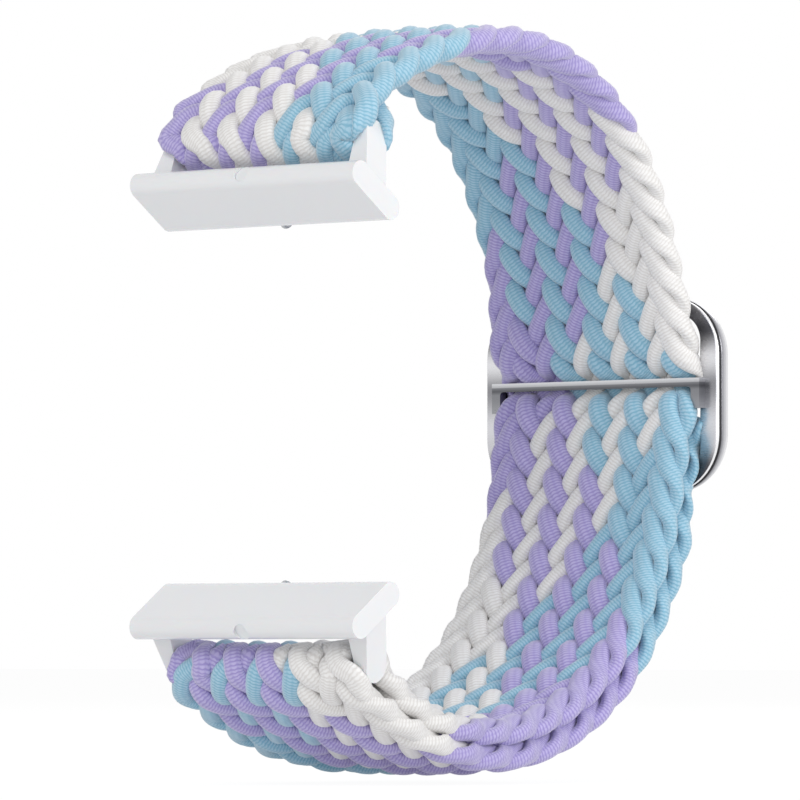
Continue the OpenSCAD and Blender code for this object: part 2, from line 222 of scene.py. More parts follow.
loop = {
    "backCentre": (9.9, 2.8),
    "backRadius": 36.2,
    "backUp": 31,  # the back arc's reach over the bar, and under it
    "backDown": 32.5,
    "backSteps": 90,
    "upperRadius": 20,
    "upperAngle": 60,
    "lowerRadius": 22.4,
    "lowerAngle": 58,
    "layerStep": 2.5,  # from one layer to the next
    "bow": 1.4,  # outwards behind the buckle bar
    "bowHalf": 5,
    "groove": 2.1,  # pressed into the wrist side by the bar
    "grooveFlat": 0.5,
    "grooveHalf": 1.9,
    "crown": 0.35,  # the middle of the band's width stands out this far
    "nestle": 0.35,  # the lower inner layer leans on the outer one
    "nestleSpan": (6, 14, 50, 60),  # lengths from the bar: grows over the first two, fades over the last two
    "closing": 0.6,  # each layer closes this far over the gap that the pin leaves between them
    "closingSpan": (42, 59, 57.5, 61),
    "pin": (4.5, 22),
    "eye": 0.8,  # radius that the braid turns on
    "rail": (2.9, 17.3),
    "betweenEars": 19.6,
    "stemSpan": (-0.1, 0.5),  # how far a place lies toward the rail, where the stems draw the braid in
    "pinSpan": (2, 4.2),  # distances from the pin over which the braid takes its own width again
    "bar": (47, 2.8),
    "barSpan": (3, 11),  # distances from the bar over which the braid is wider
    "arcStep": 0.3,
    "evenStep": 0.2,
    "rounds": 8,  # of rounding where arcs and turns meet
}
upperTurn = {  # round the upper pin, with angles and lengths from where the band touches the turn
    "lapLength": 4,
    "lapGap": 0.1,
    "bandShort": (1.5, 0.8),  # angle and length by which the band stops short, as the next three are pairs
    "turnFrom": (20, 0.4),
    "turnTo": (185, 4.6),
    "lapFrom": (4.2, 7.2),
    "lapTo": 9,
    "tuckOver": 2.2,  # the lap's end is tucked against the band
    "tuckBy": 1.1,
    "tuckFlatter": 0.8,
    "tuckNarrower": 0.6,
}
lowerTurn = {  # round the lower pin, where the lower run becomes the return run
    "lowerShort": 2.2,  # angles and length by which the bands stop short of the turn
    "returnShort": 1.6,
    "bandShort": 0.8,
    "turnGap": (22, 0.5),
    "foldAt": 62.9,  # length at the middle of the turn
}
endTurn = {  # the return run's way into the buckle and round the end pin
    "leavesArcAt": -20,
    # y, z and thickness between the inner layer and the frame's lower side
    "pressed": [
        (46.5, -8.0, 1.7),
        (46.65, -6.8, 1.4),
        (46.9, -5.3, 1.3),
        (47.25, -4.3, 1.5),
        (47.5, -3.0, 1.6),
    ],
    "centre": (48.35, -1.5),
    "radius": 1.05,
    "turnSpan": (1.2, 4.2),  # lengths from the last pressed place
    "foot": (48.75, -4.1),
    "footAt": 6.4,
    "thick": 1.15,
}
braid = {
    "width": 21.4,
    "thick": 2.4,
    "turnThick": 1.5,  # layer at the pins that sets the turn's radius
    "turnFull": 1.9,  # and how thick the cords lie there
    "turnWidth": {"upper": 22.6, "lower": 21.6, "return": 21.6},
    "widerAtBar": {"upper": 1.2, "lower": 0.4, "return": 0.9},
    "step": 1.7,  # along the band for one crossing
    "cords": 21,
    "lift": 0.56,  # how far a cord stands over the middle of the braid
    "cordWide": 1.8,
    "cordThick": 1.4,
    "uneven": 0.1,  # floats that lead to an edge are fuller than those that leave it
    "broadTop": 0.3,  # how much broader than a plain wave a cord's float is
    "edgeLag": 0.5,  # in steps, as are the next five
    "lagSpan": (0, 2, 3.5, 6),
    "turnLead": 0.95,
    "turnOver": 2.9,
    "leafAt": 0.2,
    "leafHalf": 2.3,
    "leaf": 0.06,  # a cord is this much wider and flatter where it turns over the edge
    "sunk": 0.2,
    "spread": 0.35,  # pressed cords are this much wider
    "pinHeight": -0.98,  # a cord this low lies against the pin
    "samples": 7,  # rings for each step
    "sides": 12,
}


def polar(middle, radius, angle):
    a = math.radians(angle)
    return middle[0] + radius * math.cos(a), middle[1] + radius * math.sin(a)


def toward(middle, point):
    return math.degrees(math.atan2(point[1] - middle[1], point[0] - middle[0]))


def touchRadius(start, angle, pin, pinRadius, side):
    # radius of the arc that leaves the start and touches the circle round the pin
    y, z = start[0] - pin[0], start[1] - pin[1]
    inward = (-math.cos(math.radians(angle)), -math.sin(math.radians(angle)))
    return (pinRadius * pinRadius - y**2 - z**2) / (2 * (y * inward[0] + z * inward[1] + side * pinRadius))


def ease(t):
    t = min(1, max(0, t))
    return t * t * (3 - 2 * t)


def fade(t):
    return math.cos(math.pi / 2 * min(1, max(0, t))) ** 2


def easeOver(value, span):  # 0 before the span and 1 after it
    return ease((value - span[0]) / (span[1] - span[0]))


def swell(value, span):  # grows over the first two values and fades over the last two
    return easeOver(value, span[:2]) * (1 - easeOver(value, span[2:]))


def arcRun(middle, radius, fromAngle, toAngle, fromLength, toLength, thick):
    # points of one arc, as (y, z, thickness, length along the braid)
    count = max(3, int(abs(toAngle - fromAngle) * degree * radius / loop["arcStep"]))
    return [
        (
            *polar(middle, radius, fromAngle + (toAngle - fromAngle) * i / count),
            thick,
            fromLength + (toLength - fromLength) * i / count,
        )
        for i in range(count)
    ]


def backArc(toAngle, sign):
    # the back arc from the bar, bowed outwards behind it and grooved by it
    run = []
    for i in range(loop["backSteps"]):
        angle = toAngle * i / loop["backSteps"]
        length = abs(angle) * degree * loop["backRadius"]
        out = loop["bow"] * fade(length / loop["bowHalf"])
        groove = loop["groove"] * fade((length - loop["grooveFlat"]) / loop["grooveHalf"])
        middle = polar(backCentre, loop["backRadius"] + (out + groove) / 2, angle)
        run.append((*middle, braid["thick"] + out - groove, sign * length))
    return run


def smoothLine(points):
    # even steps, then rounded a little where arcs and turns meet
    even, left = [points[0]], loop["evenStep"]
    for p, q in zip(points, points[1:]):
        length = math.dist(p[:2], q[:2])
        at = left
        while at <= length:
            t = at / length
            even.append(tuple(u + (v - u) * t for u, v in zip(p, q)))
            at += loop["evenStep"]
        left = at - length
    even.append(points[-1])
    for _ in range(loop["rounds"]):
        threes = zip(even, even[1:], even[2:])
        inner = [tuple((u + 2 * v + w) / 4 for u, v, w in zip(*three)) for three in threes]
        even = [even[0], *inner, even[-1]]
    return even


class MidLine:
    # the middle of one run of the braid: place, wrist side normal, thickness and width at a length
    def __init__(self, run, points, wristSide):
        self.turnWidth, self.wider = braid["turnWidth"][run], braid["widerAtBar"][run]
        self.points = smoothLine(points)
        self.wristSide = wristSide
        self.rising = self.points[-1][3] > self.points[0][3]

    def at(self, length):
        low, high = 0, len(self.points) - 1
        while high - low > 1:
            middle = (low + high) // 2
            if (self.points[middle][3] < length) == self.rising:
                low = middle
            else:
                high = middle
        p, q = self.points[low], self.points[high]
        t = (length - p[3]) / (q[3] - p[3])
        y, z, thick = (p[i] + (q[i] - p[i]) * t for i in range(3))
        before, after = self.points[max(0, low - 1)], self.points[min(len(self.points) - 1, high + 1)]
        dy, dz = after[0] - before[0], after[1] - before[1]
        size = math.hypot(dy, dz) * self.wristSide
        return (y, z), (-dz / size, dy / size), thick, self.widthAt(y, z)

    def widthAt(self, y, z):
        # drawn in between the stems of the ears, full round their ends, and wider near the bar
        pin, rail = loop["pin"], loop["rail"]
        near = math.dist((y, abs(z)), pin)
        stem = (y - pin[0]) * (rail[0] - pin[0]) + (abs(z) - pin[1]) * (rail[1] - pin[1])
        stemward = easeOver(stem / near / math.dist(pin, rail), loop["stemSpan"])
        turned = self.turnWidth + (loop["betweenEars"] - self.turnWidth) * stemward
        width = turned + (braid["width"] - turned) * easeOver(near, loop["pinSpan"])
        return width + self.wider * (1 - easeOver(math.dist((y, z), loop["bar"]), loop["barSpan"]))


backCentre = loop["backCentre"]
upperPin = loop["pin"]
lowerPin = (upperPin[0], -upperPin[1])
thick, turnFull = braid["thick"], braid["turnFull"]
bandRadius = loop["eye"] + thick / 2
turnRadius = loop["eye"] + braid["turnThick"] / 2

# upper run, from the bar over the top, round the upper pin and back along the lap
upperCentre = polar(backCentre, loop["backRadius"] - loop["upperRadius"], loop["backUp"])
upperEnd = loop["backUp"] + loop["upperAngle"]
upperLeaves = polar(upperCentre, loop["upperRadius"], upperEnd)
upperEndRadius = touchRadius(upperLeaves, upperEnd, upperPin, bandRadius, 1)
upperEndCentre = polar(upperLeaves, -upperEndRadius, upperEnd)
upperStop = toward(upperEndCentre, upperPin)
lapRadius = upperEndRadius - (thick + braid["turnThick"]) / 2 - upperTurn["lapGap"]
lapAngle = upperTurn["lapLength"] / lapRadius / degree
backTopAt = -loop["backUp"] * degree * loop["backRadius"]
shoulderAt = backTopAt - loop["upperAngle"] * degree * loop["upperRadius"]
upperPinAt = shoulderAt - (upperStop - upperEnd) * degree * upperEndRadius
upperFoot = upperPinAt - upperTurn["lapTo"]

(shortBy, shortLength), (turnFrom, turnFromLength) = upperTurn["bandShort"], upperTurn["turnFrom"]
(turnTo, turnToLength), (lapFrom, lapFromLength) = upperTurn["turnTo"], upperTurn["lapFrom"]
upperPoints = [
    *backArc(loop["backUp"], -1),
    *arcRun(upperCentre, loop["upperRadius"], loop["backUp"], upperEnd, backTopAt, shoulderAt, thick),
    *arcRun(
        upperEndCentre,
        upperEndRadius,
        upperEnd,
        upperStop - shortBy,
        shoulderAt,
        upperPinAt + shortLength,
        thick,
    ),
    *arcRun(
        upperPin,
        turnRadius,
        upperStop + turnFrom,
        upperStop + turnTo,
        upperPinAt - turnFromLength,
        upperPinAt - turnToLength,
        turnFull,
    ),
    *arcRun(
        upperEndCentre,
        lapRadius,
        upperStop - lapFrom,
        upperStop - lapAngle,
        upperPinAt - lapFromLength,
        upperFoot,
        turnFull,
    ),
]
upperLine = MidLine("upper", upperPoints, 1)

# lower run, from the bar down the wrist side to the middle of the turn round the lower pin
lowerCentre = polar(backCentre, loop["backRadius"] - loop["lowerRadius"], -loop["backDown"])
lowerEnd = -loop["backDown"] - loop["lowerAngle"]
lowerLeaves = polar(lowerCentre, loop["lowerRadius"], lowerEnd)
lowerEndRadius = touchRadius(lowerLeaves, lowerEnd, lowerPin, bandRadius, -1)
lowerEndCentre = polar(lowerLeaves, -lowerEndRadius, lowerEnd)
lowerStop = toward(lowerEndCentre, lowerPin)
backFootAt = loop["backDown"] * degree * loop["backRadius"]
heelAt = backFootAt + loop["lowerAngle"] * degree * loop["lowerRadius"]
lowerPinAt = heelAt + (lowerEnd - lowerStop) * degree * lowerEndRadius

# return run, over the lower one with the same weave at the same place
returnRadius = loop["lowerRadius"] + loop["layerStep"]
returnLeaves = polar(lowerCentre, returnRadius, lowerEnd)
returnEndRadius = touchRadius(returnLeaves, lowerEnd, lowerPin, bandRadius, 1)
returnEndCentre = polar(returnLeaves, -returnEndRadius, lowerEnd)
returnStop = toward(returnEndCentre, lowerPin)

foldFrom, foldTo = lowerStop + 180, returnStop + 360
foldMiddle = (foldFrom + foldTo) / 2
foldAt = lowerTurn["foldAt"]
turnGap, gapLength = lowerTurn["turnGap"]
turnAt, bandStopAt = lowerPinAt + gapLength, lowerPinAt - lowerTurn["bandShort"]
fold = arcRun(lowerPin, turnRadius, foldFrom + turnGap, foldMiddle, turnAt, foldAt, turnFull)
foldBack = arcRun(lowerPin, turnRadius, foldMiddle, foldTo - turnGap, foldAt, turnAt, turnFull)
lowerBand = arcRun(
    lowerEndCentre, lowerEndRadius, lowerEnd, lowerStop + lowerTurn["lowerShort"], heelAt, bandStopAt, thick
)
returnBand = arcRun(
    returnEndCentre,
    returnEndRadius,
    returnStop + lowerTurn["returnShort"],
    lowerEnd,
    bandStopAt,
    heelAt,
    thick,
)
lowerPoints = [
    *backArc(-loop["backDown"], 1),
    *arcRun(lowerCentre, loop["lowerRadius"], -loop["backDown"], lowerEnd, backFootAt, heelAt, thick),
    *lowerBand,
    *fold,
    *foldBack[:2],
]
outerRadius = loop["backRadius"] + loop["layerStep"]
pressedAt = abs(endTurn["leavesArcAt"]) * degree * loop["backRadius"]
returnPoints = [
    *foldBack,
    *returnBand,
    *arcRun(lowerCentre, returnRadius, lowerEnd, -loop["backDown"], heelAt, backFootAt, thick),
    *arcRun(backCentre, outerRadius, -loop["backDown"], endTurn["leavesArcAt"], backFootAt, pressedAt, thick),
]
last = polar(backCentre, outerRadius, endTurn["leavesArcAt"])
for y, z, pressedThick in endTurn["pressed"]:
    pressedAt -= math.dist((y, z), last)
    last = (y, z)
    returnPoints.append((y, z, pressedThick, pressedAt))
endFrom, endTo = (pressedAt - length for length in endTurn["turnSpan"])
returnFoot = pressedAt - endTurn["footAt"]
returnPoints += arcRun(endTurn["centre"], endTurn["radius"], 180, 0, endFrom, endTo, endTurn["thick"])
returnPoints.append((*endTurn["foot"], endTurn["thick"], returnFoot))
returnLine = MidLine("return", returnPoints, 1)
lowerLine = MidLine("lower", lowerPoints, -1)
print("middle lines:", round(upperFoot, 1), round(lowerPinAt, 1), round(returnFoot, 1))

# the cords: over two and under two, and over three where a cord turns at an edge


def place(phase):
    # where a cord is after so many crossings, out over the band's width and back: across (-0.5 to 0.5),
    # height towards the wrist (-1 to 1), turn of its flat side, fullness (-1 to 1) and how far it is a leaf
    cords = braid["cords"]
    period, last = 2 * cords, cords - 1
    phase %= period
    # a cord reaches the band's edge late, so that its loop lies over the next one like a scale
    lag = braid["edgeLag"] * swell((phase - last + 2) % cords, braid["lagSpan"])
    shifts = (-0.5, -0.25, 0, 0.25, 0.5)  # averaged, which rounds the turn at the edge
    across = 0
    for shift in shifts:
        gap = (phase + shift - lag + 0.5) % period - 0.5
        across += gap if gap <= last + 0.5 else period - 1 - gap
    if phase < 1:
        phase += period
    if phase <= last - 1:
        wave = -math.sin(math.pi * phase / 2)
    elif phase < last + 2:
        wave = math.cos(math.pi * (phase - last + 1) / 3)
    elif phase <= period - 2:
        wave = math.sin(math.pi * (period - 1 - phase) / 2)
    else:
        wave = math.cos(math.pi * (phase - period + 2) / 3)
    height = wave * (1 + braid["broadTop"] * (1 - wave * wave))
    turn = sum(ease((phase - edge + braid["turnLead"]) / braid["turnOver"]) for edge in (last, period - 1))
    fromEdge = (phase - last - braid["leafAt"] + cords / 2) % cords - cords / 2
    leaf = math.cos(math.pi / 2 * min(1, abs(fromEdge) / braid["leafHalf"]))
    fuller = height if (phase + 0.5) % period < cords else -height
    return across / len(shifts) / last - 0.5, height, turn * math.pi, fuller, leaf


def cordPhase(cord, length):
    return braid["cords"] - 0.5 + (length / braid["step"] - 2 * cord - 1)


def stationOn(line, phase, length):
    # centre, normal of the flat side, and thickness and width factors of a cord at a length along a run
    (y, z), (ny, nz), lineThick, width = line.at(length)
    across, height, turn, fuller, leaf = place(phase)
    flat = lineThick / braid["thick"]
    x = across * (width - braid["cordThick"])
    fuller = 1 + braid["uneven"] * fuller * (1 - leaf)
    lift = height * braid["lift"] * flat * fuller**2 * (1 - leaf * braid["sunk"])
    lift -= loop["crown"] * (1 - 4 * across * across) * flat
    closing = loop["closing"] * swell(length, loop["closingSpan"])
    if line is lowerLine:
        lift -= loop["nestle"] * swell(length, loop["nestleSpan"]) + closing
    if line is returnLine:
        lift += closing
    spot = Vector((x, y + ny * lift, z + nz * lift))
    inward = Vector((0, ny, nz))
    normal = inward * math.cos(turn) + Vector((math.sin(turn), 0, 0))
    spread = 1 + braid["spread"] * (1 - min(1, flat)) + leaf * braid["leaf"]
    if line is upperLine:
        tuck = 1 - ease((length - upperFoot) / upperTurn["tuckOver"])
        spot += inward * upperTurn["tuckBy"] * tuck
        flat *= 1 - upperTurn["tuckFlatter"] * tuck
        spread *= 1 - upperTurn["tuckNarrower"] * tuck
    return spot, normal, flat * fuller * (1 - leaf * braid["leaf"]), width / braid["width"] * fuller * spread


def foldShift(phase):
    # steps from the middle of the fold to where this cord lies against the pin, where its colour changes
    for shift in (0.5, -0.5, 1.5, -1.5, 2.5, -2.5):
        if place(phase + shift)[1] < braid["pinHeight"]:
            return shift
    return 0


def cordStations(cord, run):
    step, samples = braid["step"], braid["samples"]
    if run == "upper":
        lengths = [-i * step / samples for i in range(int(-upperFoot / step * samples))]
        return [stationOn(upperLine, cordPhase(cord, length), length) for length in lengths]
    foldPhase = cordPhase(cord, foldAt)
    if run == "lower":
        own, other, start = lowerLine, returnLine, 0
        stop = foldAt + foldShift(foldPhase) * step
    else:
        own, other, start = returnLine, lowerLine, returnFoot
        stop = foldAt - foldShift(-1 - foldPhase) * step
    count = round((stop - start) / step * samples)
    made = []
    for i in range(count + 1):
        length = start + (stop - start) * i / count
        if length <= foldAt:
            made.append(stationOn(own, cordPhase(cord, length), length))
        else:
            made.append(stationOn(other, -1 - cordPhase(cord, length), 2 * foldAt - length))
    return made


def cordMesh(name, cords, run):
    # a twisted oval tube for each cord, with (share round it, length along it) as its UV
    sides = braid["sides"]
    points, faces, uvs, cordLengths = [], [], [], []
    for cord in cords:
        stations = cordStations(cord, run)
        first, length, lastNormal, lengths = len(points), 0, None, []
        for i, (spot, normal, flat, narrow) in enumerate(stations):
            ahead = stations[min(len(stations) - 1, i + 1)][0] - stations[max(0, i - 1)][0]
            ahead.normalize()
            normal = (normal - ahead * normal.dot(ahead)).normalized()
            if lastNormal is not None and normal.dot(lastNormal) < 0:
                normal.negate()
            lastNormal = normal
            wide = ahead.cross(normal)
            if i:
                length += (spot - stations[i - 1][0]).length
            lengths.append(length)
            for k in range(sides):
                a = 2 * math.pi * k / sides
                outline = spot + wide * (math.cos(a) * braid["cordWide"] / 2 * narrow)
                outline += normal * (math.sin(a) * braid["cordThick"] / 2 * flat)
                points.append(outline * mm)
        for i in range(len(stations) - 1):
            for k in range(sides):
                a, b = first + i * sides + k, first + i * sides + (k + 1) % sides
                faces.append((a, b, b + sides, a + sides))
                for u, v in ((k, i), (k + 1, i), (k + 1, i + 1), (k, i + 1)):
                    uvs += [u / sides, lengths[v]]
        cordLengths.append(length)
        # the ends are melted shut
        endRing = first + (len(stations) - 1) * sides
        for ring, order in ((first, range(sides - 1, -1, -1)), (endRing, range(sides))):
            faces.append([ring + k for k in order])
            uvs += [0.5, lengths[-1]] * sides
    made = meshObject(name, points, faces)
    layer = made.data.uv_layers.new(name="aroundAndAlong")
    layer.data.foreach_set("uv", uvs)
    return made, cordLengths


# each yarn's light tone is its lit tone on the rib tops; its darker tone is painted shade for the grooves
yarnLook = {
    "blue": {"light": "#a6cadd", "paintedShade": "#78aec7", "cords": range(0, 7), "slot": "braid_blue"},
    "lilac": {"light": "#bcb3df", "paintedShade": "#9488c6", "cords": range(7, 14), "slot": "braid_lilac"},
    "white": {"light": "#eeedec", "paintedShade": "#d9d6d3", "cords": range(14, 21), "slot": "braid_white"},
}
ribs = {
    "pitch": 0.25,
    "wales": 9,  # columns of stitches round a cord
    "slant": 0.2,  # of the pitch, from the middle of a wale to its side
    "valley": 0.35,  # height left between two wales
    "lint": 900,  # cells along a run's box, so each is about 0.04 wide
    "lintDetail": 3,
    "lintRoughness": 0.6,
    "lintShare": 0.35,
    "fullTone": 0.8,
    "relief": 0.05,
    "reliefStrength": 0.5,
}
yarnSurface = {
    "Roughness": 0.78,
    "IOR": 1.45,
    "Specular IOR Level": 0.3,
    "Sheen Weight": 0.6,
    "Sheen Roughness": 0.5,
}


def yarnMaterial(colour, look):
    # knitted polyester elastic: matt, a soft sheen at grazing angles, fine ribs across each cord. Its colour
    # is painted lighter on the rib tops and darker as shade in the grooves of ribs and wales, with random
    # lint tone.
    made, tree = newMaterial("knitted_polyester_" + colour)
    uv = addNode(tree, "ShaderNodeUVMap", uv_map="aroundAndAlong")
    axes = addNode(tree, "ShaderNodeSeparateXYZ", {0: uv.outputs[0]})
    wale = addNode(tree, "ShaderNodeMath", {0: axes.outputs["X"], 1: ribs["wales"]}, operation="MULTIPLY")
    zigzag = addNode(tree, "ShaderNodeMath", {0: wale.outputs[0], 1: 0.5}, operation="PINGPONG")
    along = addNode(tree, "ShaderNodeMath", {0: axes.outputs["Y"], 1: ribs["pitch"]}, operation="DIVIDE")
    slanted = addNode(
        tree,
        "ShaderNodeMath",
        {0: zigzag.outputs[0], 1: 2 * ribs["slant"], 2: along.outputs[0]},
        operation="MULTIPLY_ADD",
    )
    turns = addNode(tree, "ShaderNodeMath", {0: slanted.outputs[0], 1: 2 * math.pi}, operation="MULTIPLY")
    rib = addNode(tree, "ShaderNodeMath", {0: turns.outputs[0]}, operation="SINE")
    ribHeight = addNode(
        tree, "ShaderNodeMapRange", {"Value": rib.outputs[0], "From Min": -1.0, "From Max": 1.0}
    )
    waleHeight = addNode(
        tree,
        "ShaderNodeMapRange",
        {"Value": zigzag.outputs[0], "From Max": 0.5, "To Min": ribs["valley"]},
        interpolation_type="SMOOTHSTEP",
    )
    height = addNode(
        tree, "ShaderNodeMath", {0: ribHeight.outputs[0], 1: waleHeight.outputs[0]}, operation="MULTIPLY"
    )
    lint = addNode(
        tree,
        "ShaderNodeTexNoise",
        {"Scale": ribs["lint"], "Detail": ribs["lintDetail"], "Roughness": ribs["lintRoughness"]},
    )
    uneven = addNode(
        tree,
        "ShaderNodeMath",
        {0: lint.outputs[0], 1: ribs["lintShare"], 2: height.outputs[0]},
        operation="MULTIPLY_ADD",
    )
    # painted shade: the colour goes to the darker tone in the rib and wale grooves and at random lint spots,
    # and to the light tone on the tops
    tone = addNode(
        tree,
        "ShaderNodeMapRange",
        {"Value": uneven.outputs[0], "From Min": 0.0, "From Max": ribs["fullTone"]},
        interpolation_type="SMOOTHSTEP",
    )
    shade = addNode(
        tree,
        "ShaderNodeMix",
        {"Factor": tone.outputs[0], "A": linear(look["paintedShade"]), "B": linear(look["light"])},
        data_type="RGBA",
    )
    relief = addNode(
        tree,
        "ShaderNodeBump",
        {"Height": uneven.outputs[0], "Distance": ribs["relief"] * mm, "Strength": ribs["reliefStrength"]},
    )
    body = addNode(
        tree,
        "ShaderNodeBsdfPrincipled",
        {"Base Color": shade.outputs[2], "Normal": relief.outputs[0], **yarnSurface},
    )
    addNode(tree, "ShaderNodeOutputMaterial", {0: body.outputs[0]})
    return made


yarns = {colour: yarnMaterial(colour, look) for colour, look in yarnLook.items()}
runs = {  # each run, with a start and an end near the buckle, and the imported pieces that its cords take the place of
    "upper": {
        "start": (0, 37.6, 26.1),
        "end": (0, 45.3, 10.3),
        "stands": ["upper_band", "upper_lap", "buckle_stretch"],
    },
    "lower": {
        "start": (0, 37.6, -20.5),
        "end": (0, 45.0, -6.0),
        "stands": ["lower_band", "lower_turn"],
    },
    "return": {
        "start": (0, 37.6, -20.5),
        "end": (0, 45.0, -6.0),
        "stands": ["return_band", "return_stretch", "return_end"],
    },
}
for run, facts in runs.items():
    for colour, look in yarnLook.items():
        piece, lengths = cordMesh(f"{run}_cords_{colour}", look["cords"], run)
        print(run, colour, "cord lengths in mm:", [round(length, 1) for length in lengths])
        piece.data.materials.append(yarns[colour])
        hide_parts(*facts["stands"])
        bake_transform(piece)
    print(run, "cords are braided")

# metal

finishes = {
    # grain is the length of a polishing or brushing mark, drawn as coarse as the render needs to show it
    # 316 stainless steel, polished: clean bright reflections with hair-fine polishing marks
    "polished_stainless_steel": {"colour": "#c8cacd", "roughness": 0.16, "grain": 1.111},
    # the buckle frame's ring: painted reflections, bright and dark stripes from corner to corner, in place of
    # what its polished face mirrors
    "polished_steel_ring_painted_reflection": {
        "colour": "#dcdcde",
        "roughness": 0.28,
        "grain": 1.111,
        # heights (z) of the painted reflection stripes on the face towards the wrist, which lies below
        # bandFace (y)
        "bands": {
            -6.7: "#3d3c3f",
            -4.6: "#5a595d",
            -2.4: "#c9c9cd",
            -0.8: "#d4d4d8",
            2.6: "#8f8f93",
            4.9: "#dedee1",
            7.4: "#55555a",
            9.6: "#8d8d91",
        },
        "bandFace": 47.36,
        # depths (y) from the bevelled rim over the groove to the crowned outside: a painted highlight on the
        # rim, painted shade in the groove and towards the crown's outer edge
        "depthBands": {
            47.3: "#efeff1",
            47.6: "#f2f2f4",
            47.68: "#2f2f31",
            47.86: "#3a3a3c",
            47.98: "#8f8f94",
            48.35: "#c4c4c8",
            48.7: "#e3e3e5",
            49.1: "#c4c4c8",
            49.45: "#96969b",
        },
    },
    # the bar, brushed along its length, with a painted highlight on its upper half and painted shade under it
    "brushed_steel_bar_painted_light_and_shade": {
        "colour": "#a5a6aa",
        "roughness": 0.3,
        "grain": 0.625,
        "bands": {
            0.5: "#97989c",
            2.1: "#85868a",
            2.5: "#626367",
            2.75: "#7b7c80",
            2.86: "#b9babd",
            3.15: "#d2d3d6",
        },
        "bandFace": 47.5,
    },
    # the same steel, fine brushed: softer reflections drawn out along the latch
    "brushed_stainless_steel": {"colour": "#b4b6b9", "roughness": 0.34, "grain": 0.625},
    # drawn spring wire: darker, a little oiled
    "drawn_spring_steel": {"colour": "#8d9094", "roughness": 0.4, "grain": 0.4},
}
marks = {
    "finer": 14,  # as many marks across as one length of grain along x
    "detail": 4,
    "smoothest": 0.75,  # of the finish's roughness
    "roughest": 1.3,
    "depth": 0.02,
    "strength": 0.15,
}


def bandRamp(tree, along, bands):
    stops = sorted(bands.items())
    low, high = stops[0][0], stops[-1][0]
    level = addNode(tree, "ShaderNodeMapRange", {"Value": along, "From Min": low * mm, "From Max": high * mm})
    ramp = addNode(tree, "ShaderNodeValToRGB", {0: level.outputs[0]})
    ramp.color_ramp.interpolation = "EASE"
    rampStops = ramp.color_ramp.elements
    rampStops[1].position = 1
    for at, code in stops[1:-1]:
        rampStops.new((at - low) / (high - low))
    for stop, (at, code) in zip(rampStops, stops):
        stop.color = linear(code)
    return ramp


def metalMaterial(name, look):
    made, tree = newMaterial(name)
    spot = addNode(tree, "ShaderNodeTexCoord")
    drawn = addNode(
        tree,
        "ShaderNodeMapping",
        {"Vector": spot.outputs["Object"], "Scale": (1, marks["finer"], marks["finer"])},
    )
    grain = addNode(
        tree,
        "ShaderNodeTexNoise",
        {"Vector": drawn.outputs[0], "Scale": 1 / (look["grain"] * mm), "Detail": marks["detail"]},
    )
    polish = addNode(
        tree,
        "ShaderNodeMapRange",
        {
            "Value": grain.outputs[0],
            "To Min": look["roughness"] * marks["smoothest"],
            "To Max": look["roughness"] * marks["roughest"],
        },
    )
    relief = addNode(
        tree,
        "ShaderNodeBump",
        {"Height": grain.outputs[0], "Distance": marks["depth"] * mm, "Strength": marks["strength"]},
    )
    tint = linear(look["colour"])
    # painted reflection and shade: colour stripes by height on the face towards the wrist and, where listed,
    # by depth on the rest
    if "bands" in look:
        axes = addNode(tree, "ShaderNodeSeparateXYZ", {0: spot.outputs["Object"]})
        ramp = bandRamp(tree, axes.outputs["Z"], look["bands"])
        if "depthBands" in look:
            tint = bandRamp(tree, axes.outputs["Y"], look["depthBands"]).outputs[0]
        face = addNode(
            tree, "ShaderNodeMath", {0: axes.outputs["Y"], 1: look["bandFace"] * mm}, operation="LESS_THAN"
        )
        mixed = addNode(
            tree,
            "ShaderNodeMix",
            {"Factor": face.outputs[0], "A": tint, "B": ramp.outputs[0]},
            data_type="RGBA",
        )
        tint = mixed.outputs[2]
    body = addNode(
        tree,
        "ShaderNodeBsdfPrincipled",
        {"Base Color": tint, "Metallic": 1.0, "Roughness": polish.outputs[0], "Normal": relief.outputs[0]},
    )
    addNode(tree, "ShaderNodeOutputMaterial", {0: body.outputs[0]})
    return made


metals = {name: metalMaterial(name, look) for name, look in finishes.items()}

# the buckle's ring: a crowned section swept round the frame, with a bevelled face and a groove beside its rim

ring = {
    "halfWidth": (11.2, 13.2),  # window, outside
    "halfHeight": (6.9, 8.45),
    "corner": (2.2, 5.0),
    "middleZ": 1.75,
    "wristY": 47.3,
    "crown": 0.24,  # the ring is this share thinner at its top and bottom
    "arcSteps": 14,
    # share of the way from the window to the outside, and y
    "section": [
        (0, 47.5), (0.01, 47.38), (0.05, 47.31), (0.12, 47.3), (0.5, 47.3), (0.8, 47.3), (0.85, 47.31),
        (0.93, 47.36), (0.97, 47.45), (0.985, 47.56), (0.97, 47.66), (0.91, 47.73), (0.89, 47.78),
        (0.91, 47.83), (0.97, 47.88), (0.995, 48.0), (1, 48.25), (0.995, 48.55), (0.96, 48.85), (0.9, 49.08),
        (0.8, 49.27), (0.66, 49.39), (0.5, 49.44), (0.3, 49.45), (0.14, 49.42), (0.05, 49.34), (0.01, 49.2),
        (0, 49),
    ],
}


def ringOutline(share):
    sizes = (ring["halfWidth"], ring["halfHeight"], ring["corner"])
    halfWidth, halfHeight, corner = (inner + (outer - inner) * share for inner, outer in sizes)
    outline = []
    for quarter, (sx, sz) in enumerate(((1, 1), (-1, 1), (-1, -1), (1, -1))):
        for i in range(ring["arcSteps"] + 1):
            a = (quarter + i / ring["arcSteps"]) * math.pi / 2
            x, z = sx * (halfWidth - corner), sz * (halfHeight - corner)
            outline.append((x + corner * math.cos(a), z + corner * math.sin(a)))
    return outline


